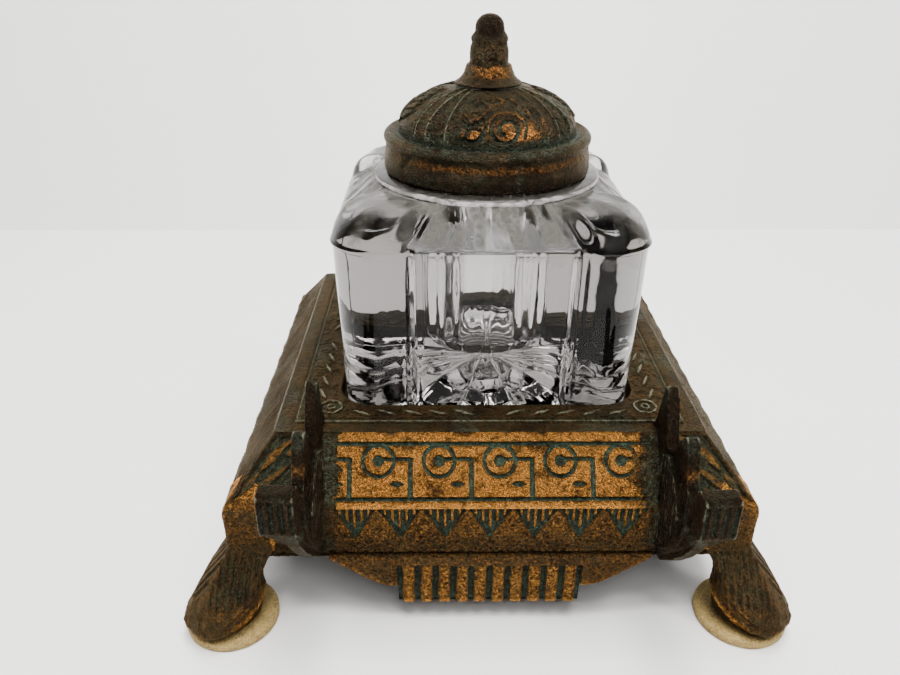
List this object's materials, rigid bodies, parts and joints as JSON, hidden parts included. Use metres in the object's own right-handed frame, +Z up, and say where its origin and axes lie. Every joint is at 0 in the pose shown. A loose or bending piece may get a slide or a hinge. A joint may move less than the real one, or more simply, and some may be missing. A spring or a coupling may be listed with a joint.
{
  "type": "inkwell",
  "caption": "Square cast stand on corner feet with pen racks, holding a square pressed-glass ink bottle under a loose domed lid with a knob.",
  "frame": {"origin": "middle of the footprint, on the surface that the felt pads stand on", "axes": "+Z up along the bottle's axis, -Y towards the pen racks at the front, +X to the right"},
  "size_m": [0.118, 0.1156, 0.1068],
  "materials": {
    "cast_bronze": "bronzed casting, worn to bright gold on the high relief, with teal verdigris in the recesses",
    "dark_bronze": "dark brown patinated bronzed casting with lighter worn edges",
    "lid_bronze": "olive-brown patinated bronzed casting with copper highlights and verdigris",
    "pressed_glass": "clear thick pressed glass, faintly violet-grey, slightly wavy",
    "felt": "matte tan pressed felt"
  },
  "bodies": {
    "stand_body": {"stand": "cast_bronze", "pen_rack_left": "dark_bronze", "pen_rack_right": "dark_bronze", "leg_front_left": "cast_bronze", "leg_front_right": "cast_bronze", "leg_back_left": "cast_bronze", "leg_back_right": "cast_bronze", "felt_pad_front_left": "felt", "felt_pad_front_right": "felt", "felt_pad_back_left": "felt", "felt_pad_back_right": "felt"},
    "bottle": {"ink_bottle": "pressed_glass"},
    "lid_body": {"lid": "lid_bronze", "finial": "lid_bronze"}
  },
  "joints": [
    {"name": "bottle_lift", "type": "slide", "parent": "stand_body", "child": "bottle", "axis": [0, 0, 1], "range_m": [0, 0.03]},
    {"name": "lid_lift", "type": "slide", "parent": "bottle", "child": "lid_body", "axis": [0, 0, 1], "range_m": [0, 0.03]}
  ]
}
